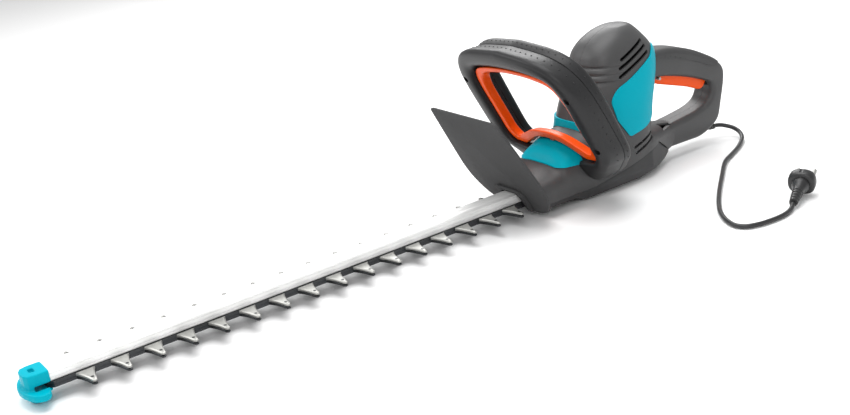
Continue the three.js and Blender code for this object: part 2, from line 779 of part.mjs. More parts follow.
// Strain relief of the mains lead, bent down towards its rear end.
function glandBody(grow) {
  const ring = (x, z, r) => across(x, r + grow, z - r - grow, z + r + grow, 2);
  return loft(
    [
      ring(164, 28.5, 5.6),
      ring(170, 26.5, 5.4),
      ring(178, 23, 5),
      ring(186, 19.6, 4.6),
      ring(192, 17.8, 4.3),
      ring(GLAND_END, LEAD_Z, 4),
    ],
    false,
    16,
  );
}

// Ribs and seats that the two housing halves carry inside.
function housingRibs() {
  const [z0, z1] = [STATOR_Z[0] - 3, STATOR_Z[1] + 3];
  const ribs = [];
  for (const side of [-1, 1]) {
    const span = (from, to) => (side > 0 ? [from, to] : [-to, -from]);
    for (const x of [-20, 20]) {
      ribs.push(box([x - 1.5, x + 1.5], span(STATOR_HALF + GAP, 60), [z0, z1]).intersect(tower(-1)));
    }
    const seat = box([-14, 14], span(GAP / 2, 60), [UPPER_BEARING_Z[0] + 1, UPPER_BEARING_Z[1] - 1]);
    ribs.push(seat.intersect(tower(-1)));
    const [b0, b1] = [COMMUTATOR_Z[0] + 1, COMMUTATOR_Z[1] - 1];
    const guide = box([-5, 5], span(14, 60), [b0 - 1.5, b1 + 1.5]).intersect(tower(-1));
    const bore = box([-3 - RUN, 3 + RUN], span(12, 32), [b0 + 1.5 - RUN, b1 - 1.5 + RUN]);
    ribs.push(cut(guide, bore));
    const [x, z] = TRIGGER_PIVOT;
    const boss = acrossRod(x, z, span(TRIGGER_HALF + 0.6, HANDLE_HALF - 1.5), TRIGGER_PIN_R + 3);
    ribs.push(boss);
    for (const [px, pz] of HOUSING_POSTS) ribs.push(acrossRod(px, pz, span(GAP / 2, HANDLE_HALF - 1.5), 4.5));
  }
  return join(...ribs);
}

// X and Z of the posts where screws draw the two halves together.
const HOUSING_POSTS = [
  [190, 94],
  [150, 37],
];

function motorHousing() {
  const outer = cut(join(tower(0), midBody(0), rearHandle(0, HANDLE_ROUND)), hookRecess(0));
  const hollow = join(tower(-WALL), midBody(-WALL), rearHandle(-WALL, HANDLE_ROUND - 2.5));
  const inner = cut(hollow, hookRecess(WALL));
  const doorway = box([-70, -50], [-PLATE_HALF - 1.5, PLATE_HALF + 1.5], [20, 66]);
  const [x, z] = TRIGGER_PIVOT;
  const pinEnd = HANDLE_HALF - WALL;
  let shell = join(cut(outer, inner, triggerWay()), housingRibs().intersect(outer));
  shell = cut(
    shell,
    belowParting(GAP),
    doorway,
    glandBody(GAP),
    acrossRod(x, z, [-pinEnd, pinEnd], TRIGGER_PIN_R + RUN),
    rod(0, 0, [UPPER_BEARING_Z[0] - 1, UPPER_BEARING_Z[1] + GAP], BEARING_R + RUN),
  );
  shell = shell.intersect(slab(CASE_REAR + GAP / 2, 300));
  for (const [from, to, half] of VENTS) {
    shell = cut(shell, ventSlot(from, to, half, [-80, -24]), ventSlot(from, to, half, [24, 80]));
  }
  piece("housing_left", shell.intersect(leftSide), DARK);
  piece("housing_right", shell.intersect(rightSide), DARK);
  piece("cord_gland", glandBody(0), BLACK);
}

function trim() {
  const skin = cut(tower(1.6), tower(GAP));
  const panel = alongY(
    outline([
      [46, 155],
      [56, 166],
      [80, 168],
      [80, 100],
      [60, 92],
      [40, 77, 8],
      [25, 71, 8],
      [-3, 66.5, 4],
      [-21, 91, 4],
      [-26, 115, 6],
      [-15, 129, 14],
      [5, 135, 14],
    ]),
    -80,
    80,
  );
  const outboard = join(box([-80, 90], [24, 80], [0, 250]), box([-80, 90], [-80, -24], [0, 250]));
  const panels = skin.intersect(panel).intersect(outboard);
  piece("side_panel_left", panels.intersect(leftSide), TEAL);
  piece("side_panel_right", panels.intersect(rightSide), TEAL);
  const collarBand = box([-90, -36], [-80, 80], [78, 93.5]);
  piece("collar", cut(tower(2.4), tower(GAP), gearHump(GAP)).intersect(collarBand), TEAL);
}

function basePan() {
  const floor = box([-200, 200], [-100, 100], [-1, 2.8]);
  const inner = cut(basePanBody(-WALL), floor);
  const pan = cut(basePanBody(0), inner).intersect(belowParting(0));
  const seat = rod(WHEEL_X, 0, [1.5, 7], AXLE_R + 3);
  const bore = rod(WHEEL_X, 0, [AXLE_FOOT - GAP, 20], AXLE_R + GAP);
  piece("base_pan", cut(join(pan, seat), bore, aheadOfGuardRear(), bladeWay), SOFT);
}

// ---------------------------------------------------------------- gear train
// Outline of a gear with a round bore: straight-flanked teeth, a little short, with play between them.
function gearShape(teeth, bore, boreSides) {
  const pitchR = (MODULE * teeth) / 2;
  const step = (2 * Math.PI) / teeth;
  const at = (r, angle) => [r * Math.cos(angle), r * Math.sin(angle)];
  const rim = [];
  for (let i = 0; i < teeth; i += 1) {
    const mid = i * step;
    rim.push(at(pitchR - 1.2 * MODULE, mid - 0.3 * step));
    rim.push(at(pitchR + 0.8 * MODULE, mid - 0.1 * step));
    rim.push(at(pitchR + 0.8 * MODULE, mid + 0.1 * step));
    rim.push(at(pitchR - 1.2 * MODULE, mid + 0.3 * step));
  }
  const shape = outline(rim);
  const hole = [];
  for (let i = 0; i < boreSides; i += 1) hole.push(at(bore, (i / boreSides) * 2 * Math.PI));
  shape.holes.push(outline(hole, THREE.Path));
  return shape;
}

function connectingRod(name, side, [z0, z1], pinTo) {
  const y = side * THROW;
  const mid = (z0 + z1) / 2;
  const flat = [mid - 1.75, mid + 1.75];
  const ring = rod(WHEEL_X, y, [z0, z1], ECCENTRIC_R + ROD_RING, ECCENTRIC_SIDES);
  const arm = box([ROD_PIN_X, WHEEL_X - ECCENTRIC_R], [y - 5, y + 5], flat);
  const eye = rod(ROD_PIN_X, y, flat, 6.5, 16);
  const pin = rod(ROD_PIN_X, y, pinTo < mid ? [pinTo, mid] : [mid, pinTo], ROD_PIN_R, 12);
  const bore = rod(WHEEL_X, y, [0, 60], ECCENTRIC_R + RUN, ECCENTRIC_SIDES);
  piece(`${name}_rod`, cut(join(ring, arm, eye, pin), bore), STEEL);
}

function gearTrain() {
  const wheel = alongZ(gearShape(WHEEL_TEETH, AXLE_R + RUN, 24), GEAR_Z, GEAR_Z + GEAR_THICK);
  const pinionShape = gearShape(PINION_TEETH, PINION_BORE + RUN, 16);
  const pinion = alongZ(pinionShape, GEAR_Z - 0.5, GEAR_Z + GEAR_THICK + 0.5);
  piece("gear_wheel", wheel.translate([WHEEL_X, 0, 0]), STEEL);
  piece("pinion", pinion.rotate([0, 0, 180 / PINION_TEETH]), STEEL);
  piece("gear_axle", rod(WHEEL_X, 0, [AXLE_FOOT, PLATE_Z[1]], AXLE_R), DARK_STEEL);
  const upper = [UPPER_BLADE_Z + BLADE_THICK + 0.8, GEAR_Z - GAP];
  const lower = [AXLE_FOOT + 5, LOWER_BLADE_Z - 0.6];
  const bore = rod(WHEEL_X, 0, [0, 60], AXLE_R + RUN);
  piece("upper_eccentric", cut(rod(WHEEL_X, THROW, upper, ECCENTRIC_R, ECCENTRIC_SIDES), bore), DARK_STEEL);
  piece("lower_eccentric", cut(rod(WHEEL_X, -THROW, lower, ECCENTRIC_R, ECCENTRIC_SIDES), bore), DARK_STEEL);
  connectingRod("upper", 1, upper, UPPER_BLADE_Z + GAP);
  connectingRod("lower", -1, lower, LOWER_BLADE_Z + BLADE_THICK - GAP);
}

function bearingPlate() {
  const [z0, z1] = PLATE_Z;
  const corners = [
    [PLATE_FRONT, -14, 3],
    [PLATE_FRONT + 20, -PLATE_HALF, 6],
    [PLATE_REAR, -PLATE_HALF, 8],
    [PLATE_REAR, PLATE_HALF, 8],
    [PLATE_FRONT + 20, PLATE_HALF, 6],
    [PLATE_FRONT, 14, 3],
  ];
  let plate = join(
    alongZ(outline(corners), z0, z1),
    box([PLATE_FRONT, PLATE_FRONT + 17], [-BAR_HALF, BAR_HALF], [BAR_TOP + GAP, z0 + 1]),
    rod(0, 0, [z1 - 1, LOWER_BEARING_Z[1] - 1], BEARING_R + 3),
  );
  plate = cut(
    plate,
    rod(WHEEL_X, 0, [z0 - 1, z1 + 1], AXLE_R + RUN),
    rod(0, 0, [z0 - 1, z1 + 10], SHAFT_R + 1.5),
    rod(0, 0, [LOWER_BEARING_Z[0] - GAP, z1 + 20], BEARING_R + RUN),
    ...BAR_BOLTS.map((x) => rod(x, 0, [z0 - 10, z1 + 1], BAR_BOLT_R + 0.3, 16)),
  );
  piece("bearing_plate", plate, ALUMINIUM);
  BAR_BOLTS.forEach((x, i) => {
    const head = rod(x, 0, [z1 + GAP, z1 + GAP + 3], 3.9, 6);
    const shank = rod(x, 0, [BAR_Z + 3, z1 + GAP + 0.5], BAR_BOLT_R, 16);
    piece(`bar_bolt_${i + 1}`, join(head, shank), STEEL);
  });
}

// ---------------------------------------------------------------- motor
function ringOf([z0, z1], outer, inner, sides = 24) {
  return cut(rod(0, 0, [z0, z1], outer, sides), rod(0, 0, [z0 - 1, z1 + 1], inner, 16));
}

function stator() {
  const h = STATOR_HALF;
  const c = 9;
  const corners = [
    [-h, -h + c],
    [-h + c, -h],
    [h - c, -h],
    [h, -h + c],
    [h, h - c],
    [h - c, h],
    [-h + c, h],
    [-h, h - c],
  ];
  let core = cut(alongZ(outline(corners), ...STATOR_Z), rod(0, 0, [0, 200], CORE_R + 1, 24));
  for (const side of [-1, 1]) {
    for (const end of [-1, 1]) {
      core = cut(core, box(order(side * 16, side * 26.5), order(end * 3.2, end * 12.8), [0, 200]));
    }
  }
  piece("stator", core, LAMINATION);
  const [z0, z1] = STATOR_Z;
  for (const [name, end] of [["left", 1], ["right", -1]]) {
    const leg = (side) => box(order(side * 21, side * 26), order(end * 4, end * 12), [z0 - 5, z1 + 5]);
    const turn = (low) => box([-26, 26], order(end * 10, end * 22), [low, low + 4]);
    piece(`field_coil_${name}`, join(leg(-1), leg(1), turn(z0 - 5), turn(z1 + 1)), COPPER);
  }
}

const order = (a, b) => [Math.min(a, b), Math.max(a, b)];

function armature() {
  const [z0, z1] = [STATOR_Z[0] + 2, STATOR_Z[1] - 2];
  const slots = 12;
  let core = ringOf([z0, z1], CORE_R, SHAFT_R + RUN, 24);
  let winding = join(
    ringOf([z0 - 2.5, z0 - GAP], CORE_R - 1.5, SHAFT_R + 2, 12),
    ringOf([z1 + GAP, z1 + 2.5], CORE_R - 1.5, SHAFT_R + 2, 12),
  );
  for (let i = 0; i < slots; i += 1) {
    const turn = [0, 0, (360 * (i + 0.5)) / slots];
    core = cut(core, box([CORE_R - 8, CORE_R + 1], [-1.9, 1.9], [z0 - 1, z1 + 1]).rotate(turn));
    winding = join(winding, box([CORE_R - 7.4, CORE_R - 2], [-1.3, 1.3], [z0 - 2, z1 + 2]).rotate(turn));
  }
  piece("armature_core", core, LAMINATION);
  piece("armature_winding", winding, COPPER);
  const shaft = join(
    rod(0, 0, [GEAR_Z - 2, LOWER_BEARING_Z[0]], PINION_BORE, 16),
    rod(0, 0, [LOWER_BEARING_Z[0] - 2, UPPER_BEARING_Z[1] + 1.5], SHAFT_R, 16),
  );
  piece("motor_shaft", shaft, STEEL);
  piece("commutator", ringOf(COMMUTATOR_Z, 10.5, SHAFT_R + RUN), COPPER);
  piece("lower_bearing", ringOf(LOWER_BEARING_Z, BEARING_R, SHAFT_R + RUN), STEEL);
  piece("upper_bearing", ringOf(UPPER_BEARING_Z, BEARING_R, SHAFT_R + RUN), STEEL);
  const [f0, f1] = FAN_Z;
  let fan = join(ringOf([f0, f0 + 1.5], FAN_R, SHAFT_R + RUN), ringOf([f0, f1], 7, SHAFT_R + RUN));
  for (let i = 0; i < 10; i += 1) {
    fan = join(fan, box([6, FAN_R - 1], [-0.7, 0.7], [f0 + 1, f1 - 1]).rotate([0, 0, 36 * i]));
  }
  piece("fan", fan, BLACK);
  for (const [name, end] of [["left", 1], ["right", -1]]) {
    const [low, high] = [COMMUTATOR_Z[0] + 2.5, COMMUTATOR_Z[1] - 2.5];
    piece(`brush_${name}`, box([-3, 3], order(end * 10.9, end * 28), [low, high]), BLACK);
  }
}

function electrics() {
  const top = FRONT_SWITCH_TOP;
  piece("front_switch", box([-93, -71], [-9, 9], [PLATE_Z[1] + GAP, top]), BLACK);
  piece("rear_switch", box([102, 128], [-8, 8], [121, 134]), BLACK);
  piece("capacitor", box([186, 196], [-8, 8], [62, 82]), TEAL);
  piece("terminal_block", box([108, 138], [-9, 9], [24, 36]), SOFT);
}

// ---------------------------------------------------------------- mains lead and plug
const CORD_POINTS = [
  [198.3, 0, 17],
  [204, -0.3, 16.6],
  [210, -2.5, 15.8],
  [216, -8, 14],
  [219.5, -15.5, 12],
  [219.5, -24, 9.5],
  [216, -32, 7.3],
  [209, -40, 5.4],
  [198, -47.5, 4],
  [180, -57.5, 3.1],
  [152, -70, 2.9],
  [130, -80, 2.9],
  [85, -113, 2.9],
  [41, -147, 2.9],
  [14, -170, 2.9],
  [-6, -190, 2.9],
  [-21, -212, 2.9],
  [-26, -229, 2.9],
  [-22, -239, 2.9],
  [-9, -246, 2.9],
  [11, -249.8, 2.9],
  [30, -250.2, 2.9],
  [47.3, -246, 3.2],
  [56, -242, 6.4],
];

function lead() {
  const points = CORD_POINTS.map((point) => new THREE.Vector3(...point));
  const path = new THREE.CatmullRomCurve3(points, false, "centripetal");
  const ring = new THREE.Shape();
  ring.absarc(0, 0, CORD_R, 0, 2 * Math.PI, false);
  const tube = new THREE.ExtrudeGeometry(ring, { steps: 52, extrudePath: path, curveSegments: 4 });
  piece("cord", solid(tube), BLACK);
}

// The plug lies on the ground, tilted; its axis starts where the lead ends.
const PLUG_AXIS = new THREE.Vector3(0.869, 0.403, 0.22).normalize();
const PLUG_START = new THREE.Vector3(...CORD_POINTS[CORD_POINTS.length - 1]);
function placedOnPlug(geometry) {
  const aside = new THREE.Vector3(0, 0, 1).cross(PLUG_AXIS).normalize();
  const up = aside.clone().cross(PLUG_AXIS);
  const place = new THREE.Matrix4().makeBasis(aside, PLUG_AXIS, up).setPosition(PLUG_START);
  return solid(geometry.applyMatrix4(place));
}

const PLUG_LENGTH = 53;
const PLUG_PROFILE = [
  [0, 0.4],
  [4, 0.4],
  [4.6, 8],
  [5.6, 25],
  [7.6, 27],
  [9.8, 31],
  [13.2, 35],
  [15.5, 40],
  [15.5, PLUG_LENGTH - 3],
  [13.2, PLUG_LENGTH],
  [0, PLUG_LENGTH],
];
function plug() {
  const body = new THREE.LatheGeometry(PLUG_PROFILE.map(([r, s]) => new THREE.Vector2(r, s)), 18);
  const pins = [-9.5, 9.5].map((offset) => (grow) => {
    const length = 26;
    const pin = new THREE.CylinderGeometry(2.4 + grow, 2.4 + grow, length + 2 * grow, 10);
    pin.translate(offset, PLUG_LENGTH - 7 + length / 2, 0);
    return placedOnPlug(pin);
  });
  piece("plug", cut(placedOnPlug(body), ...pins.map((pin) => pin(GAP))), BLACK);
  pins.forEach((pin, i) => piece(`plug_pin_${i + 1}`, pin(0), STEEL));
}

// ---------------------------------------------------------------- assembly
blades();
guideBar();
bladeScrews();
tipGuard();
handGuard();
gearHousing();
basePan();
motorHousing();
trim();
bail(join(gearHump(GAP), midBody(GAP), tower(GAP), basePanBody(GAP)));
switchRing();
rearGripParts();
bearingPlate();
gearTrain();
stator();
armature();
electrics();
lead();
plug();

export default group;
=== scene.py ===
"""An electric hedge trimmer: smooth shells, handles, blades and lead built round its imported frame. Metres."""

import json
import math

import bpy
import numpy as np
from mathutils import Matrix, Vector


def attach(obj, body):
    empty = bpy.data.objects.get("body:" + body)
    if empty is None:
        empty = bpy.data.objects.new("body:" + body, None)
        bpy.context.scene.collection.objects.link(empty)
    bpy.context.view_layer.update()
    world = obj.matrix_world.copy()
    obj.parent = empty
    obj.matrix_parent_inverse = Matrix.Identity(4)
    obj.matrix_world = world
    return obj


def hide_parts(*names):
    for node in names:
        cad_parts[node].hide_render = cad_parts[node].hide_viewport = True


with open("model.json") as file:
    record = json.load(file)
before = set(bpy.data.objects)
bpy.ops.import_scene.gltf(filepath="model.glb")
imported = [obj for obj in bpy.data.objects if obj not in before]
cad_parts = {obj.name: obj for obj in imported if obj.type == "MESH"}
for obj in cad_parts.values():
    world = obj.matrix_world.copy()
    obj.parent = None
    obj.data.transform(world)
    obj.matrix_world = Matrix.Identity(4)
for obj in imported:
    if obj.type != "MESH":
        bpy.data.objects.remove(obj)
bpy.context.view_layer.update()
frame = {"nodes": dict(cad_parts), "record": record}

MM = 0.001
GAP = 0.3  # between pieces that touch, in millimetres like every shape below
WALL = 2.6
BAIL_LEAN = 0.54  # the bail, its ring and the guard lean forward by this much of their height
BAIL_X = -26.5
GUARD_LEAN = 0.565
RING_TRAVEL = 2.5
TRIGGER_PIN = (86, 113)  # X and Z
AXLE_X = -35  # the gear wheel's axle
ROD_WINDOW_X = -77  # where the rods' pins reach into the blades
TEETH = 16
FIRST_TOOTH = -700
TOOTH_PITCH = 35
BLADE_THICK = 3
SCREWS = 7
FIRST_SCREW = -689
SCREW_PITCH = 78


# ---------------------------------------------------------------- camera, lights and floor
def camera():
    heading, pitch, roll = (math.radians(a) for a in (56.53, 20.55, -6.99))
    level = Vector((math.cos(heading), math.sin(heading), 0))
    right = Vector((math.sin(heading), -math.cos(heading), 0))
    ahead = level * math.cos(pitch) - Vector((0, 0, math.sin(pitch)))
    up = level * math.sin(pitch) + Vector((0, 0, math.cos(pitch)))
    across = right * math.cos(roll) + up * math.sin(roll)
    upright = up * math.cos(roll) - right * math.sin(roll)
    bpy.ops.object.camera_add(location=(-0.9791, -1.0541, 0.52385))
    cam = bpy.context.object
    cam.rotation_euler = Matrix((across, upright, -ahead)).transposed().to_euler()
    cam.data.lens = 50.34
    cam.data.sensor_width = 36
    cam.data.clip_end = 50
    bpy.context.scene.camera = cam


def softbox(name, place, target, size, power):
    bpy.ops.object.light_add(type="AREA", location=place)
    lamp = bpy.context.object
    lamp.name = name
    lamp.data.shape = "RECTANGLE"
    lamp.data.size, lamp.data.size_y = size
    lamp.data.energy = power
    lamp.rotation_euler = (Vector(target) - Vector(place)).to_track_quat("-Z", "Y").to_euler()


def studio():
    camera()
    softbox("top_softbox", (-0.2, 0.1, 1.7), (-0.2, 0, 0), (1.6, 1.2), 26)
    softbox("near_softbox", (-1.3, -1.5, 1.3), (-0.2, 0, 0.1), (1.2, 1.0), 12)
    softbox("far_softbox", (0.9, 1.4, 1.2), (0, 0, 0.1), (1.2, 0.8), 18)
    softbox("blade_softbox", (-1.2, 0.9, 0.9), (-0.5, 0, 0), (1.0, 0.5), 7)
    world = bpy.data.worlds.new("studio")
    world.use_nodes = True
    background = world.node_tree.nodes["Background"]
    background.inputs["Color"].default_value = (1, 1, 1, 1)
    background.inputs["Strength"].default_value = 0.6
    bpy.context.scene.world = world
    bpy.context.scene.view_settings.view_transform = "Standard"
    bpy.ops.mesh.primitive_plane_add(size=14, location=(0, 0, -0.0005))
    floor = bpy.context.object
    floor.name = "floor"
    paint = bpy.data.materials.new("floor_paint")
    paint.use_nodes = True
    shader = paint.node_tree.nodes["Principled BSDF"]
    shader.inputs["Base Color"].default_value = (0.93, 0.93, 0.93, 1)
    shader.inputs["Roughness"].default_value = 0.9
    shader.inputs["Specular IOR Level"].default_value = 0.2
    floor.data.materials.append(paint)


# ---------------------------------------------------------------- materials
def finish(name, colour, roughness, metallic=0.0, grain=900, bump=0.25, depth=0.00006, patches=0.1,
           gloss=0.08, stretch=None, shine=0.5):
    """A surface with patchy colour and gloss, and a fine grain in relief; stretch draws the grain out."""
    material = bpy.data.materials.new(name)
    material.use_nodes = True
    nodes, links = material.node_tree.nodes, material.node_tree.links
    shader = nodes["Principled BSDF"]
    shader.inputs["Metallic"].default_value = metallic
    shader.inputs["Specular IOR Level"].default_value = shine
    place = nodes.new("ShaderNodeTexCoord")
    mapping = nodes.new("ShaderNodeMapping")
    links.new(place.outputs["Object"], mapping.inputs["Vector"])
    if stretch:
        mapping.inputs["Scale"].default_value = stretch
    cloud = nodes.new("ShaderNodeTexNoise")
    cloud.inputs["Scale"].default_value = 14
    cloud.inputs["Detail"].default_value = 4
    links.new(place.outputs["Object"], cloud.inputs["Vector"])
    shades = nodes.new("ShaderNodeValToRGB")
    for stop, share in ((0, 1 - patches), (1, 1 + patches)):
        shades.color_ramp.elements[stop].color = [min(1, c * share) for c in colour] + [1]
    shades.color_ramp.elements[0].position = 0.3
    shades.color_ramp.elements[1].position = 0.7
    links.new(cloud.outputs["Fac"], shades.inputs["Fac"])
    links.new(shades.outputs["Color"], shader.inputs["Base Color"])
    fine = nodes.new("ShaderNodeTexNoise")
    fine.inputs["Scale"].default_value = grain
    fine.inputs["Detail"].default_value = 3
    links.new(mapping.outputs["Vector"], fine.inputs["Vector"])
    sheen = nodes.new("ShaderNodeMapRange")
    sheen.inputs["To Min"].default_value = roughness - gloss
    sheen.inputs["To Max"].default_value = roughness + gloss
    links.new(fine.outputs["Fac"], sheen.inputs["Value"])
    links.new(sheen.outputs["Result"], shader.inputs["Roughness"])
    relief = nodes.new("ShaderNodeBump")
    relief.inputs["Strength"].default_value = bump
    relief.inputs["Distance"].default_value = depth
    links.new(fine.outputs["Fac"], relief.inputs["Height"])
    links.new(relief.outputs["Normal"], shader.inputs["Normal"])
    return material


FINISHES = {
    "dark_plastic": finish("dark_moulding", (0.06, 0.06, 0.061), 0.42, shine=0.32),
    "black_plastic": finish("black_moulding", (0.038, 0.038, 0.039), 0.45, shine=0.3),
    "bail_plastic": finish("bail_moulding", (0.02, 0.02, 0.021), 0.4, shine=0.25),
    "soft_grip": finish("soft_grip", (0.04, 0.04, 0.041), 0.55, grain=1500, bump=0.4),
    "teal_plastic": finish("teal_moulding", (0.0, 0.37, 0.47), 0.35, grain=500, bump=0.06, patches=0.04,
                           shine=0.06),
    "orange_plastic": finish("orange_moulding", (0.9, 0.085, 0.0), 0.3, grain=500, bump=0.06, patches=0.05,
                             shine=0.2),
    "bar_aluminium": finish("drawn_aluminium", (0.86, 0.86, 0.85), 0.5, 0.35, 260, 0.2, stretch=(0.02, 1, 1)),
    "cast_aluminium": finish("cast_aluminium", (0.6, 0.61, 0.62), 0.45, 1, 700, 0.5),
    "bright_steel": finish("ground_steel", (0.42, 0.42, 0.4), 0.45, 0.8, 420, 0.3, stretch=(1, 0.05, 1)),
    # Near-black steel; on the blade strips this darkness is painted shade for the shadow that falls on them.
    "dark_steel": finish("dark_steel_and_painted_shade", (0.05, 0.052, 0.055), 0.42, 1, 420, 0.3, patches=0.2),
    "laminations": finish("stamped_sheet", (0.3, 0.3, 0.31), 0.5, 0.8, 600, 0.6, stretch=(0.05, 0.05, 1)),
    "copper": finish("varnished_wire", (0.6, 0.24, 0.1), 0.35, 0.9, 300, 0.8, stretch=(1, 1, 0.1)),
    "cable_rubber": finish("cable_rubber", (0.017, 0.017, 0.018), 0.4, grain=700, bump=0.2),
}


PLATE = finish("plate_moulding", (0.06, 0.06, 0.061), 0.75, shine=0.08)


def dress_frame():
    slots = {part["node"]: part["material_slot"] for part in frame["record"]["subparts"]}
    for node, thing in frame["nodes"].items():
        thing.data.materials.clear()
        thing.data.materials.append(FINISHES[slots[node]])


# ---------------------------------------------------------------- ways of making a mesh
def start(thing):
    """Only this one is selected, and it is the active one."""
    bpy.ops.object.select_all(action="DESELECT")
    thing.hide_set(False)
    thing.select_set(True)
    bpy.context.view_layer.objects.active = thing
    return thing


def done(thing, angle=35):
    start(thing)
    bpy.ops.object.shade_smooth_by_angle(angle=math.radians(angle))
    return thing


def edit(thing, *steps):
    start(thing)
    bpy.ops.object.mode_set(mode="EDIT")
    bpy.ops.mesh.select_all(action="SELECT")
    for step in steps:
        step()
    bpy.ops.object.mode_set(mode="OBJECT")
    return thing


def outwards():
    bpy.ops.mesh.select_all(action="SELECT")
    bpy.ops.mesh.normals_make_consistent(inside=False)


def modify(thing, kind, **settings):
    start(thing)
    modifier = thing.modifiers.new(kind.lower(), kind)
    for key, value in settings.items():
        setattr(modifier, key, value)
    bpy.ops.object.modifier_apply(modifier=modifier.name)
    return thing


def boolean(thing, tool, operation="DIFFERENCE", keep=False):
    modify(thing, "BOOLEAN", operation=operation, object=tool, solver="EXACT")
    if not keep:
        bpy.data.objects.remove(tool)
    return thing


def sheet_of(name, rows, closed=False):
    """A skin through rows of points, each row closed on itself; its ends are capped, or meet."""
    rows = np.array(rows, float) * MM
    if closed:
        rows = np.concatenate([rows, rows[:1]])
    rows = np.concatenate([rows, rows[:, :1]], axis=1)
    count, around = rows.shape[:2]
    bpy.ops.object.select_all(action="DESELECT")
    bpy.ops.mesh.primitive_grid_add(x_subdivisions=around - 1, y_subdivisions=count - 1, size=1)
    thing = bpy.context.object
    thing.name = thing.data.name = name
    thing.data.vertices.foreach_set("co", rows.reshape(-1))
    thing.data.update()

    def close():
        bpy.ops.mesh.remove_doubles(threshold=1e-6)
        if not closed:
            bpy.ops.mesh.select_all(action="DESELECT")
            bpy.ops.mesh.select_non_manifold()
            bpy.ops.mesh.fill_holes(sides=0)
        outwards()

    return edit(thing, close)


def slab(name, points, axis, low, high, lean=0.0, bevel=0.0, segments=2):
    """A plate of this outline, made from a disc: across Y or Z, or across X with a lean."""
    bpy.ops.object.select_all(action="DESELECT")
    bpy.ops.mesh.primitive_circle_add(vertices=len(points), fill_type="NGON")
    thing = bpy.context.object
    thing.name = thing.data.name = name
    put = {
        "X": lambda a, b: (low - lean * b, a, b),
        "Y": lambda a, b: (a, low, b),
        "Z": lambda a, b: (a, b, low),
    }[axis]
    travel = Vector([(high - low) * MM * (axis == letter) for letter in "XYZ"])
    for vertex, (a, b) in zip(thing.data.vertices, points):
        vertex.co = Vector(put(a, b)) * MM

    def extrude():
        bpy.ops.mesh.extrude_region_move(TRANSFORM_OT_translate={"value": travel})

    edit(thing, extrude, outwards)
    if bevel:
        modify(thing, "BEVEL", width=bevel * MM, segments=segments, limit_method="ANGLE",
               angle_limit=math.radians(50))
    return thing


def block(name, low, high):
    size = [b - a for a, b in zip(low, high)]
    centre = [(a + b) / 2 * MM for a, b in zip(low, high)]
    bpy.ops.object.select_all(action="DESELECT")
    bpy.ops.mesh.primitive_cube_add(size=1, location=centre, scale=[s * MM for s in size])
    return settled(name)


def settled(name):
    thing = bpy.context.object
    thing.name = thing.data.name = name
    bpy.ops.object.transform_apply(location=True, rotation=True, scale=True)
    return thing


def peg(name, ends, radius, sides=24, tip=None):
    """A round bar between two points."""
    a, b = (Vector(end) * MM for end in ends)
    turn = (b - a).to_track_quat("Z", "Y").to_euler()
    bpy.ops.object.select_all(action="DESELECT")
    bpy.ops.mesh.primitive_cone_add(vertices=sides, radius1=radius * MM, depth=(b - a).length,
                                    radius2=(radius if tip is None else tip) * MM,
                                    location=(a + b) / 2, rotation=turn)
    return settled(name)


def joined(name, things):
    start(things[0])
    for thing in things:
        thing.select_set(True)
    bpy.ops.object.join()
    things[0].name = things[0].data.name = name
    return things[0]


def copied(name, node):
    """A frame node's own mesh, merged and free of the frame."""
    start(frame["nodes"][node])
    bpy.ops.object.duplicate()
    thing = bpy.context.object
    thing.name = name
    for key in [key for key in thing.keys() if key.startswith("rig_")]:
        del thing[key]
    thing.parent = None
    return edit(thing, lambda: bpy.ops.mesh.remove_doubles(threshold=1e-6))


def softened(name, node, voxel, passes):
    """A moulded piece from its plain solid, with its edges eased."""
    thing = copied(name, node)
    modify(thing, "REMESH", mode="VOXEL", voxel_size=voxel * MM)
    modify(thing, "SMOOTH", factor=0.5, iterations=passes)
    return thing


def placed(thing, slot, body="root", nodes=(), angle=35, own=None):
    """A finished piece: smoothed, given its surface, and set on the body it moves with."""
    done(thing, angle)
    thing.data.materials.clear()
    thing.data.materials.append(own or FINISHES[slot])
    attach(thing, body)
    if nodes:
        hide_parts(*nodes)
    return thing


# ---------------------------------------------------------------- outlines and sections
def smooth_line(points, steps, closed=False):
    """A rounded line through the points."""
    points = np.array(points, float)
    last = len(points) - 1

    def pick(i):
        return points[i % len(points)] if closed else points[min(max(i, 0), last)]

    line = []
    for i in range(len(points) if closed else last):
        before, here, there, after = (pick(i + k) for k in (-1, 0, 1, 2))
        for t in np.arange(steps) / steps:
            line.append(0.5 * (2 * here + (there - before) * t
                               + (2 * before - 5 * here + 4 * there - after) * t**2
                               + (3 * here - before - 3 * there + after) * t**3))
    if not closed:
        line.append(points[-1])
    return np.array(line)


def rounded(corners, steps=6):
    """An outline through corners [a, b, radius], each rounded off by its radius."""
    spots = [np.array(corner[:2], float) for corner in corners]
    line = []
    for i, corner in enumerate(corners):
        here, radius = spots[i], corner[2] if len(corner) > 2 else 0
        if radius == 0:
            line.append(here)
            continue
        ends = []
        for other in (spots[i - 1], spots[(i + 1) % len(spots)]):
            away = np.linalg.norm(other - here)
            ends.append(here + (other - here) * min(radius, away / 2) / away)
        for t in np.arange(steps + 1) / steps:
            line.append((1 - t) ** 2 * ends[0] + 2 * t * (1 - t) * here + t**2 * ends[1])
    return np.array(line)


def mirrored(corners):
    return [*corners, *[(-c[0], *c[1:]) for c in reversed(corners) if c[0] != 0]]


def oval(centre, half_a, half_b, square, sides):
    """A squarish oval round a centre."""
    def bend(v):
        return math.copysign(abs(v) ** (2 / square), v)

    turns = (2 * math.pi * (i + 0.5) / sides for i in range(sides))
    return [(centre[0] + half_a * bend(math.cos(t)), centre[1] + half_b * bend(math.sin(t))) for t in turns]


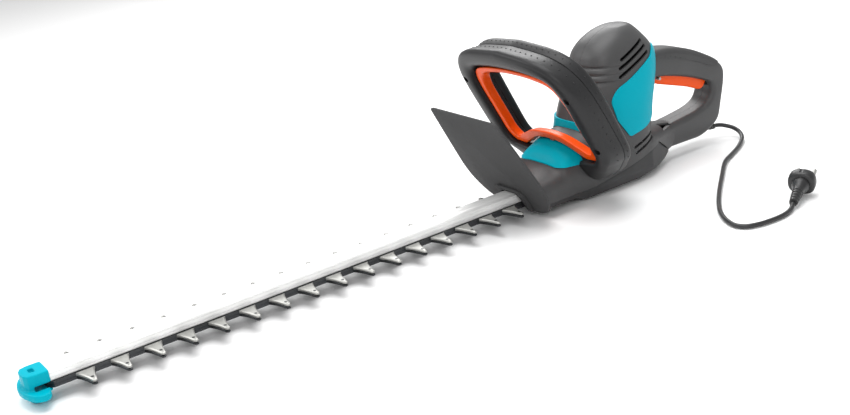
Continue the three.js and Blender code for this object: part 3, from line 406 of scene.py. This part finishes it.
def spokes(outline, centre, angles):
    """Where spokes from the centre at these angles meet the outline."""
    outline = np.array(outline) - centre
    following = np.roll(outline, -1, axis=0)
    found = []
    for angle in angles:
        ray = np.array([math.cos(angle), math.sin(angle)])
        side = np.array([-ray[1], ray[0]])
        a, b = outline @ side, following @ side
        reach = [0.0]
        for i in np.nonzero((a <= 0) != (b <= 0))[0]:
            share = a[i] / (a[i] - b[i])
            reach.append(float((outline[i] * (1 - share) + following[i] * share) @ ray))
        found.append(max(reach))
    return np.array(found)


def section(width, low, high, radii, steps=5):
    """A rounded box section: corners at the inner and outer edge of each face, with a radius each."""
    low_in, low_out, high_out, high_in = radii
    limit = min(width, high - low) / 2 - 0.2
    corners = [(0, low, low_in), (width, low, low_out), (width, high, high_out), (0, high, high_in)]
    line = []
    for i, (u, v, radius) in enumerate(corners):
        radius = min(radius, limit)
        centre = (u + (radius if u == 0 else -radius), v + (radius if v == low else -radius))
        for k in range(steps + 1):
            angle = math.radians(180 + 90 * i + 90 * k / steps)
            line.append((centre[0] + radius * math.cos(angle), centre[1] + radius * math.sin(angle)))
    return line


def hoop(name, outer, inner, centre, depth, radii, place, angles, closed=True):
    """A band between two outlines round a centre, with a rounded section; place puts a point in the frame."""
    outside, inside = spokes(outer, centre, angles), spokes(inner, centre, angles)
    rows = []
    for angle, far, near in zip(angles, outside, inside):
        ray = np.array([math.cos(angle), math.sin(angle)])
        ring = section(far - near, *depth, radii)
        rows.append([place(*(centre + ray * (near + u)), v) for u, v in ring])
    return sheet_of(name, rows, closed)


def full_turn(count):
    return [2 * math.pi * i / count for i in range(count)]


# ---------------------------------------------------------------- housings
# Height, front, rear, half width, squareness
TOWER = [
    (30, -60, 52, 46, 3.4), (60, -62, 54, 47, 3.2), (84, -60, 58, 47, 2.8), (100, -57, 61, 46, 2.8),
    (121, -49, 67, 44, 2.8), (140, -42, 71, 42, 2.8), (157, -35, 71, 40, 2.8), (169, -30, 66, 37, 2.8),
    (180, -21, 58, 32, 2.5), (189, -6, 50, 25, 2.3), (194, 8, 44, 17, 2.2), (195.4, 18, 37, 9, 2),
]
GROOVES = (138, 146.5, 155)  # heights of the wavy grooves on its front


def tower(name, grow, sides=96, steps=12):
    rows = []
    for z, front, rear, half, square in smooth_line(TOWER, steps):
        centre = (front + rear) / 2
        ring = oval((centre, 0), (rear - front) / 2 + grow, half + grow, square, sides)
        dip = sum(math.exp(-(((z - g) / 1.5) ** 2)) for g in GROOVES) if grow >= 0 else 0
        row = []
        for x, y in ring:
            facing = min(1, max(0, (8 - x) / 30))
            pull = 1 - 2.0 * dip * facing / math.hypot(x - centre, y)
            row.append((centre + (x - centre) * pull, y * pull, z + grow * max(0, z - 180) / 15))
        rows.append(row)
    return sheet_of(name, rows)


# X, half width, low, high, squareness
MID = [
    (-66, 46, -10, 66, 3.6), (0, 46, -10, 66, 3.6), (40, 43, 0, 62, 3.4), (66, 33, 8, 56, 3),
    (92, 22, 12, 52, 2.8), (112, 16, 16, 48, 2.6),
]
HUMP = [
    (-155, 42, -10, 44, 4), (-128, 46, -10, 49, 4), (-112, 46, -10, 54, 3.4), (-104, 46, -10, 63, 2.9),
    (-96, 46, -10, 70, 2.6), (-84, 47, -10, 76, 2.5), (-70, 48, -10, 82, 2.5), (-55, 48, -10, 88, 2.5),
]


def along(name, table, grow, sides=72, steps=6):
    rows = []
    first, last = table[0][0], table[-1][0]
    for x, half, low, high, square in smooth_line(table, steps):
        ring = oval((0, (low + high) / 2), half + grow, (high - low) / 2 + grow, square, sides)
        x += grow * (int(x == last) - int(x == first))
        rows.append([(x, y, z) for y, z in ring])
    return sheet_of(name, rows)


HANDLE_OUTER = [
    (20, 150), (100, 150, 30), (146, 137, 30), (189, 115, 12), (206, 101, 12), (205, 81, 12),
    (193, 32, 10), (176, 22, 9), (158, 16, 9), (92, 17, 9), (20, 24),
]
HANDLE_OPENING = [
    (45, 47), (100, 48, 20), (156, 54, 16), (173, 60, 12), (181, 74, 8), (177, 87, 6), (140, 102, 20),
    (88, 116, 20), (45, 118),
]
HANDLE_HALF = 18


def rear_handle(name, grow, rounding=7.5):
    centre = np.array((120.0, 82.0))
    angles = full_turn(168)
    outer = np.array(rounded(HANDLE_OUTER, 10))
    inner = np.array(rounded(HANDLE_OPENING, 10))
    outside, inside = spokes(outer, centre, angles) + grow, spokes(inner, centre, angles) - grow
    rows = []
    for angle, far, near in zip(angles, outside, inside):
        ray = np.array([math.cos(angle), math.sin(angle)])
        half = HANDLE_HALF + grow
        ring = section(far - near, -half, half, [max(1.5, rounding + grow)] * 4, 6)
        points = [(centre + ray * (near + u), v) for u, v in ring]
        rows.append([(spot[0], v, spot[1]) for spot, v in points])
    return sheet_of(name, rows, closed=True)


PARTING = [(-169, 19), (-62, 19), (0, 28), (58, 41), (90, 19), (91, -30), (-169, -30)]


def below_parting(lift):
    return slab("below", [(x, z + lift) for x, z in PARTING], "Y", -90, 90)


def ahead_of_guard():
    rear = -140.0 + 5 + GAP
    square = [(-90, -30), (90, -30), (90, 200), (-90, 200)]
    return slab("ahead", square, "X", rear - 80, rear, GUARD_LEAN)


VENTS = [
    ((-1, 161), (37, 176), 2.2), ((-5, 151), (40, 169), 2.2), ((-7, 141), (42, 161), 2.2),
    ((8, 42), (43, 52), 1.8), ((6, 50), (40, 59.5), 1.8),
]


def vent_cutters():
    cutters = []
    for (x0, z0), (x1, z1), half in VENTS:
        run = np.array([x1 - x0, z1 - z0]) / math.hypot(x1 - x0, z1 - z0) * half
        a, b = run
        ends = [(x0 - a - b, z0 - b + a, half), (x0 - a + b, z0 - b - a, half),
                (x1 + a + b, z1 + b - a, half), (x1 + a - b, z1 + b + a, half)]
        for y0, y1 in ((-80, -24), (24, 80)):
            cutters.append(slab("vent", rounded(ends, 4), "Y", y0, y1))
    return cutters


TRIGGER = [
    (80, 108, 3), (90, 103.5, 4), (150, 85, 20), (164, 78, 4), (172, 78, 4), (178, 87, 3), (174, 96, 8),
    (140, 110, 20), (92, 121, 6), (80, 119, 3),
]


def housing():
    outer = tower("housing", 0)
    boolean(outer, along("mid", MID, 0), "UNION")
    boolean(outer, rear_handle("arm", 0), "UNION")
    inner = tower("inner", -WALL, 48, 4)
    boolean(inner, along("mid", MID, -WALL, 48, 3), "UNION")
    boolean(inner, rear_handle("arm", -WALL), "UNION")
    boolean(outer, inner)
    room = [(x + 4 * (x > 160) - 3 * (x < 95), z - 1.5 + 8.5 * (z > 95), r) for x, z, r in TRIGGER]
    way = slab("way", rounded(room), "Y", -10, 10)
    tools = [below_parting(GAP), way, block("front", (-120, -90, -50), (-60.85, 90, 250)),
             block("doorway", (-70, -37.5, 20), (-50, 37.5, 66)),
             peg("lead_way", ((160, 0, 29.4), (206, 0, 15.6)), 5.2), *vent_cutters()]
    for side in (-1, 1):
        y = sorted((side * 9, side * 40))
        tools.append(block("hook_recess", (80, y[0], 47), (102, y[1], 72)))
    for tool in tools:
        boolean(outer, tool)
    start(outer)
    bpy.ops.object.duplicate()
    other = bpy.context.object
    boolean(outer, block("half", (-100, GAP / 2, -50), (300, 150, 300)), "INTERSECT")
    boolean(other, block("half", (-100, -150, -50), (300, -GAP / 2, 300)), "INTERSECT")
    outer.name, other.name = "housing_shell_left", "housing_shell_right"
    placed(outer, "dark_plastic", nodes=["housing_left"])
    placed(other, "dark_plastic", nodes=["housing_right"])


def gear_case():
    case = along("gear_case", HUMP, 0)
    boolean(case, along("inner", HUMP, -WALL, 48, 3))
    for tool in (below_parting(GAP), ahead_of_guard(), block("rear", (-61.15, -90, -50), (0, 90, 200)),
                 block("blade_way", (-400, -17, 8), (-100, 17, 33))):
        boolean(case, tool)
    boolean(case, ring_hoop("ring_room", 0.6))
    placed(case, "dark_plastic", nodes=["gear_housing"])


PANEL = [
    (46, 155, 3), (56, 166, 4), (80, 168), (80, 100), (60, 92, 10), (40, 77, 8), (25, 71, 8), (-3, 66.5, 4),
    (-21, 91, 4), (-26, 115, 6), (-15, 129, 14), (5, 135, 14),
]


def trim():
    for name, side in (("left", 1), ("right", -1)):
        panel = tower("side_panel", 1.6)
        boolean(panel, tower("inside", GAP))
        y = sorted((side * 24, side * 80))
        boolean(panel, slab("edge", rounded(PANEL, 8), "Y", *y), "INTERSECT")
        panel.name = "teal_panel_" + name
        placed(panel, "teal_plastic", nodes=["side_panel_" + name])
    collar = tower("teal_collar", 2.4)
    boolean(collar, tower("inside", GAP))
    boolean(collar, block("band", (-90, -80, 78), (-36, 80, 93.5)), "INTERSECT")
    boolean(collar, along("case", HUMP, GAP))
    placed(collar, "teal_plastic", nodes=["collar"])
    band = along("teal_band", HUMP, 1.5)
    boolean(band, along("inside", HUMP, GAP))
    edge = [(-111, 54), (-111, 90), (-80, 90), (-80, 54)]
    boolean(band, slab("edge", edge, "Y", -80, 80), "INTERSECT")
    boolean(band, ring_hoop("ring_room", 0.6))
    placed(band, "teal_plastic", nodes=["gear_cover_band"])


# ---------------------------------------------------------------- bail handle and switch ring
BAIL_OUTER = [
    (40, 20), (73, 42), (89, 57), (98, 66.5), (104, 81), (105, 103), (104.5, 134), (102, 156), (97, 171),
    (88, 183.5), (73, 193.5), (48, 200.5), (0, 205),
]
BAIL_INNER = [
    (40, 57), (74, 61.5, 6), (82, 73, 8), (81, 92, 14), (80, 153, 14), (71, 173, 12), (40, 179, 20),
    (0, 181, 20),
]
BAIL_CENTRE = np.array((0.0, 118.0))


def on_bail(climb=0.0):
    def place(y, z, depth):
        rise = climb * depth * min(1, max(0, (z - 90) / 90))
        return (BAIL_X + depth - BAIL_LEAN * z, y, z + rise)
    return place


def both_sides(line):
    """A smooth closed outline from points on one side."""
    line = np.array(line)
    return np.concatenate([line, (line * (-1, 1))[::-1]])


def bail():
    outer = both_sides(smooth_line(BAIL_OUTER, 8))
    inner = rounded(mirrored(BAIL_INNER), 8)
    foot = math.radians(237)
    angles = np.linspace(math.pi - foot, foot, 150)
    parts = [("bail_front", (-31, -GAP / 2), (8, 11, 0.9, 0.9), 0.0, "bail_front_shell"),
             ("bail_rear", (GAP / 2, 14), (0.9, 0.9, 8, 6), BAIL_LEAN, "bail_rear_shell")]
    for name, depth, radii, climb, node in parts:
        shell = hoop(name, outer, inner, BAIL_CENTRE, depth, radii, on_bail(climb), angles, closed=False)
        if node == "bail_front_shell":
            for y, z in ((-91, 152), (91, 152), (-95, 84), (95, 84)):
                x = BAIL_X - BAIL_LEAN * z
                boolean(shell, peg("screw_way", ((x - 45, y, z), (x - 15.7, y, z)), 3.8))
        placed(shell, "bail_plastic", nodes=[node])
    nubs(outer)


def nubs(outer):
    """A row of small raised dots on each side of the bail's seam."""
    count = 46
    angles = np.linspace(math.radians(-28), math.radians(208), count)
    reach = spokes(outer, BAIL_CENTRE, angles)
    dots = []
    for depth, climb, sink in ((-11, 0.0, 0.25), (6, BAIL_LEAN, 0.35)):
        for angle, far in zip(angles, reach):
            spot = BAIL_CENTRE + np.array([math.cos(angle), math.sin(angle)]) * (far - sink)
            bpy.ops.mesh.primitive_uv_sphere_add(segments=8, ring_count=5, radius=1.1 * MM,
                                                 location=Vector(on_bail(climb)(*spot, depth)) * MM)
            dots.append(settled("dot"))
    placed(joined("bail_dots", dots), "bail_plastic", angle=80)


def arch(half, top):
    return [(0, top, 12), (half * 0.55, top - 3, 10), (half, top - 14, 8)]


def ring_hoop(name, grow=0.0):
    gap = 2 * GAP
    outer = [(y - gap, z - RING_TRAVEL - gap if z > 140 else z + gap, r) for y, z, r in BAIL_INNER[1:-1]]
    inner = [(y - 9.5, z - RING_TRAVEL - 6.5 if z > 140 else z + 7, r) for y, z, r in BAIL_INNER[1:-1]]
    outer = mirrored([*arch(45, 81), (54, 61, 4), *outer, (0, 181 - RING_TRAVEL - gap, 30)])
    inner = mirrored([*arch(50, 91), *inner, (0, 181 - RING_TRAVEL - gap - 6, 30)])
    radii = [radius + grow for radius in (3.4, 2.2, 2.2, 2.2)]
    ring = hoop(name, rounded(outer, 8), rounded(inner, 8), BAIL_CENTRE, (-23 - grow, -10 + grow),
                radii, on_bail(), full_turn(200))
    if grow:
        edit(ring, lambda: bpy.ops.transform.shrink_fatten(value=grow * MM))
    return ring


def switch_ring():
    ring = ring_hoop("ring")
    foot = [(-3, 62.3), (3, 62.3), (3, 86), (-3, 86)]
    plunger = slab("plunger", foot, "X", BAIL_X - 19, BAIL_X - 13, BAIL_LEAN)
    boolean(ring, plunger, "UNION")
    placed(ring, "orange_plastic", "ring_body", ["switch_ring"])


# ---------------------------------------------------------------- lead and plug
LEAD = [
    (198.3, 0, 17), (204, -0.3, 16.6), (210, -2.5, 15.8), (216, -8, 14), (219.5, -15.5, 12),
    (219.5, -24, 9.5), (216, -32, 7.3), (209, -40, 5.4), (198, -47.5, 4), (180, -57.5, 3.1),
    (152, -70, 2.9), (130, -80, 2.9), (85, -113, 2.9), (41, -147, 2.9), (14, -170, 2.9), (-6, -190, 2.9),
    (-21, -212, 2.9), (-26, -229, 2.9), (-22, -239, 2.9), (-9, -246, 2.9), (11, -249.8, 2.9),
    (30, -250.2, 2.9), (47.3, -246, 3.2), (56, -242, 6.4),
]
LEAD_RADIUS = 2.8


def centripetal(points, steps):
    """An even, loop-free curve through the points."""
    points = [np.array(p, float) for p in points]
    points = [2 * points[0] - points[1], *points, 2 * points[-1] - points[-2]]
    line = []
    for p0, p1, p2, p3 in zip(points, points[1:], points[2:], points[3:]):
        t0 = 0
        t1 = t0 + math.sqrt(np.linalg.norm(p1 - p0))
        t2 = t1 + math.sqrt(np.linalg.norm(p2 - p1))
        t3 = t2 + math.sqrt(np.linalg.norm(p3 - p2))
        for t in np.linspace(t1, t2, steps, endpoint=False):
            a1 = (t1 - t) / (t1 - t0) * p0 + (t - t0) / (t1 - t0) * p1
            a2 = (t2 - t) / (t2 - t1) * p1 + (t - t1) / (t2 - t1) * p2
            a3 = (t3 - t) / (t3 - t2) * p2 + (t - t2) / (t3 - t2) * p3
            b1 = (t2 - t) / (t2 - t0) * a1 + (t - t0) / (t2 - t0) * a2
            b2 = (t3 - t) / (t3 - t1) * a2 + (t - t1) / (t3 - t1) * a3
            line.append((t2 - t) / (t2 - t1) * b1 + (t - t1) / (t2 - t1) * b2)
    line.append(points[-2])
    return np.array(line)


def lead():
    route = centripetal(LEAD, 8) * MM
    curve = bpy.data.curves.new("mains_lead", "CURVE")
    curve.dimensions = "3D"
    spline = curve.splines.new("POLY")
    spline.points.add(len(route) - 1)
    for point, spot in zip(spline.points, route):
        point.co = (*spot, 1)
    curve.bevel_depth = LEAD_RADIUS * MM
    curve.bevel_resolution = 3
    curve.use_fill_caps = True
    cord = bpy.data.objects.new("mains_lead", curve)
    bpy.context.scene.collection.objects.link(cord)
    cord.data.materials.append(FINISHES["cable_rubber"])
    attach(cord, "root")
    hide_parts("cord")
    return cord, float(np.linalg.norm(np.diff(route, axis=0), axis=1).sum())


def rings_along(name, profile, start_at, axis, aside, sides=32):
    """A turned piece: rings of a radius at each distance along an axis."""
    axis, aside = Vector(axis).normalized(), Vector(aside).normalized()
    up = axis.cross(aside)
    rows = []
    for radius, distance in profile:
        middle = Vector(start_at) + axis * distance
        turns = full_turn(sides)
        rows.append([tuple(middle + (aside * math.cos(t) + up * math.sin(t)) * radius) for t in turns])
    return sheet_of(name, rows)


def ribbed(start_r, end_r, length, ribs, depth=0.9):
    """Profile of a strain relief with grooves round it."""
    profile = []
    for i in range(ribs):
        for share, sink in ((0.0, depth), (0.22, depth), (0.34, 0), (0.88, 0)):
            t = (i + share) / ribs
            profile.append((start_r + (end_r - start_r) * t - sink, length * t))
    return profile


PLUG_AXIS = Vector((0.869, 0.403, 0.22)).normalized()
PLUG_ASIDE = Vector((0, 0, 1)).cross(PLUG_AXIS).normalized()
PLUG_UP = PLUG_AXIS.cross(PLUG_ASIDE)


def plug():
    foot = Vector(LEAD[-1])

    def at(s, a=0.0, u=0.0):
        return foot + PLUG_AXIS * s + PLUG_ASIDE * a + PLUG_UP * u

    profile = [(2.9, 0.4), (4.4, 0.5), *[(r, s + 1.2) for r, s in ribbed(4.9, 6.6, 24, 5)], (6.8, 26),
               (7.6, 30), (9.6, 34), (10.5, 38), (9.5, 44)]
    body = rings_along("plug_body", profile, foot, PLUG_AXIS, PLUG_ASIDE)
    rows = []
    for s, grow in ((39, -3.2), (40, -1), (41.5, 0), (47, 0.2), (50.5, 0), (52.3, -1), (53, -2.6)):
        rows.append([tuple(at(s, a, u)) for a, u in oval((0, 0), 15.5 + grow, 14.4 + grow, 2.5, 48)])
    head = sheet_of("head", rows)
    boolean(body, head, "UNION")
    for a in (-9.5, 9.5):
        boolean(body, peg("pin_way", (at(45, a), at(58, a)), 2.75))
    notch = peg("notch", (at(43, 0, 16.5), at(60, 0, 16.5)), 3.2)
    boolean(body, notch)
    placed(body, "cable_rubber", nodes=["plug"])
    pins = []
    for i, a in enumerate((-9.5, 9.5)):
        shape = [(2.4, 46), (2.4, 69.5), (2.1, 71), (1.2, 71.8)]
        pin = rings_along(f"plug_prong_{i + 1}", shape, at(0, a), PLUG_AXIS, PLUG_ASIDE, 20)
        pins.append(placed(pin, "bright_steel", nodes=[f"plug_pin_{i + 1}"]))
    return [body, *pins]


def gland():
    spine = smooth_line([(164, 28.5, 5.6), (170, 26.5, 5.4), (178, 23, 5), (186, 19.6, 4.6),
                         (192, 17.8, 4.3), (198, 17, 4)], 6)
    rows = []
    for i, (x, z, radius) in enumerate(spine):
        sink = 0.7 if i % 5 in (0, 1) and 6 < i < 28 else 0
        ring = oval((0, z), radius - sink, radius - sink, 2, 28)
        rows.append([(x, y, up) for y, up in ring])
    relief = sheet_of("lead_relief", rows)
    return placed(relief, "cable_rubber", nodes=["cord_gland"])


# ---------------------------------------------------------------- rear handle's grip and trigger
def grip():
    skin = rear_handle("soft_cover", 1.5)
    boolean(skin, rear_handle("inside", GAP))
    boolean(skin, tower("tower", GAP + 0.1))
    cover = [(40, 149), (92, 139), (114, 134), (141, 124.5), (160, 117), (176, 109, 4), (187, 107, 8),
             (200, 116, 6), (212, 130), (212, 180), (40, 180)]
    boolean(skin, slab("edge", rounded(cover), "Y", -60, 60), "INTERSECT")
    boolean(skin, block("behind", (0, -60, 100), (70, 60, 190)))
    for i in range(9):
        x = 92 + 9 * i
        z = 143.5 - 0.0042 * (x - 70) ** 2
        for side in (-1, 1):
            boolean(skin, peg("dot", ((x, side * 19, z), (x, side * 22, z)), 0.9, 12))
    placed(skin, "soft_grip", nodes=["grip_insert"])


def trigger():
    lever = softened("finger_lever", "trigger", 0.5, 5)
    x, z = TRIGGER_PIN
    boolean(lever, peg("pin_way", ((x, -20, z), (x, 20, z)), 2.3, 32))
    placed(lever, "orange_plastic", "trigger_body", ["trigger"], angle=60)


# ---------------------------------------------------------------- guards and pan
GUARD = [(44, 7, 14), (64, 22, 16), (74, 47, 16), (69, 87, 40), (61, 143.5, 8)]


def hand_guard():
    front = -144 + GUARD_LEAN * 7
    plate = slab("guard_plate", rounded(mirrored(GUARD), 8), "X", front, front + 5, GUARD_LEAN)

    def rim():
        bpy.ops.mesh.select_all(action="DESELECT")
        bpy.ops.object.mode_set(mode="OBJECT")
        for face in plate.data.polygons:
            face.select = len(face.vertices) > 20
        bpy.ops.object.mode_set(mode="EDIT")
        bpy.ops.mesh.inset(thickness=3.2 * MM, depth=0)
        bpy.ops.mesh.inset(thickness=0.8 * MM, depth=-0.9 * MM)

    edit(plate, rim, outwards)
    modify(plate, "BEVEL", width=0.9 * MM, segments=3, limit_method="ANGLE", angle_limit=math.radians(40))
    boss = slab("boss", rounded(mirrored([(24, 7), (24, 38, 8)])), "X", front - 3, front + 4, GUARD_LEAN,
                bevel=0.8)
    boolean(plate, boss, "UNION")
    slot = mirrored([(17, 0), (17, 22, 4), (13.5, 32.5, 3)])
    boolean(plate, slab("slot", rounded(slot), "X", front - 9, front + 14, GUARD_LEAN))
    placed(plate, "dark_plastic", nodes=["hand_guard"], own=PLATE)


def moulded():
    placed(softened("tip_cap", "tip_guard", 0.7, 4), "teal_plastic", nodes=["tip_guard"], angle=60)
    pan = softened("under_pan", "base_pan", 1.2, 4)
    boolean(pan, peg("axle_way", ((AXLE_X, 0, -2), (AXLE_X, 0, 45)), 5.5, 32))
    placed(pan, "black_plastic", nodes=["base_pan"], angle=60)


# ---------------------------------------------------------------- blades
def tooth(x, side, low, high):
    """A tooth with hollow flanks, ground to an edge all round."""
    rows = []
    for level, inset in ((low, 0.7), (low + 0.9, 0), (high - 0.9, 0.3), (high, 1.5)):
        flank = []
        for y in (14, 18, 22, 26, 30, 34, 37.5, 40.2, 41.3):
            share = (41.3 - y) / 27.3
            half = 2.8 + 7.2 * share**1.7 - inset * (y > 14)
            if y > 40:
                half -= 0.5 if y < 41 else 1.6
            flank.append((max(0.3, half), y - inset * (y > 37)))
        ring = [(x - half, side * y, level) for half, y in flank]
        rows.append(ring + [(x + half, side * y, level) for half, y in reversed(flank)])
    return sheet_of("tooth", rows)


def blade(name, z, body, node, slot):
    """A toothed strip, painted near-black as painted shade; each tooth carries a dark spot near its tip."""
    low, high = z, z + BLADE_THICK
    outline = [(-737, 11), (-731, 15), (-53, 15), (-53, -15), (-731, -15), (-737, -11)]
    strip, teeth = [slab("strip", outline, "Z", low, high)], []
    ways = [(FIRST_SCREW + SCREW_PITCH * i, 13.5, 4.4) for i in range(SCREWS)]
    ways.append((ROD_WINDOW_X, 14, 8))
    for x, long, half in ways:
        boolean(strip[0], block("slot", (x - long, -half, low - 1), (x + long, half, high + 1)))
    for side in (-1, 1):
        for i in range(TEETH):
            x = FIRST_TOOTH + TOOTH_PITCH * i
            teeth.append(tooth(x, side, low, high))
            strip.append(peg("spot", ((x, side * 34.2, high - 0.5), (x, side * 34.2, high + 0.08)), 1.7, 14))
    # The strip and its tooth spots get the near-black steel: painted shade for the shadow of the bar and the
    # other blade on the strip.
    placed(joined(name + "_strip", strip), "dark_steel", body, [node], angle=20)
    placed(joined(name + "_teeth", teeth), slot, body, [node], angle=20)


def blades():
    blade("top_blade", 16.6, "upper_blade_body", "upper_blade", "bright_steel")
    blade("bottom_blade", 13.3, "lower_blade_body", "lower_blade", "dark_steel")


def bar():
    """The bar's own solid with grooves drawn along both sides."""
    rail = copied("rail", "guide_bar")
    top = max(v.co.z for v in rail.data.vertices) / MM
    for drop in (1.7, 3.4, 8.2):
        for side in (-1, 1):
            y = sorted((side * 11.5, side * 13))
            boolean(rail, block("groove", (-760, y[0], top - drop - 0.7), (-100, y[1], top - drop)))
    modify(rail, "BEVEL", width=0.5 * MM, segments=2, limit_method="ANGLE", angle_limit=math.radians(60))
    placed(rail, "bar_aluminium", nodes=["guide_bar"], angle=30)


# ---------------------------------------------------------------- the whole tool
studio()
cord, lead_length = lead()
on_lead = [*plug(), gland()]
dress_frame()
housing()
gear_case()
trim()
bail()
switch_ring()
grip()
trigger()
hand_guard()
moulded()
blades()
bar()
bpy.ops.object.select_all(action="DESELECT")
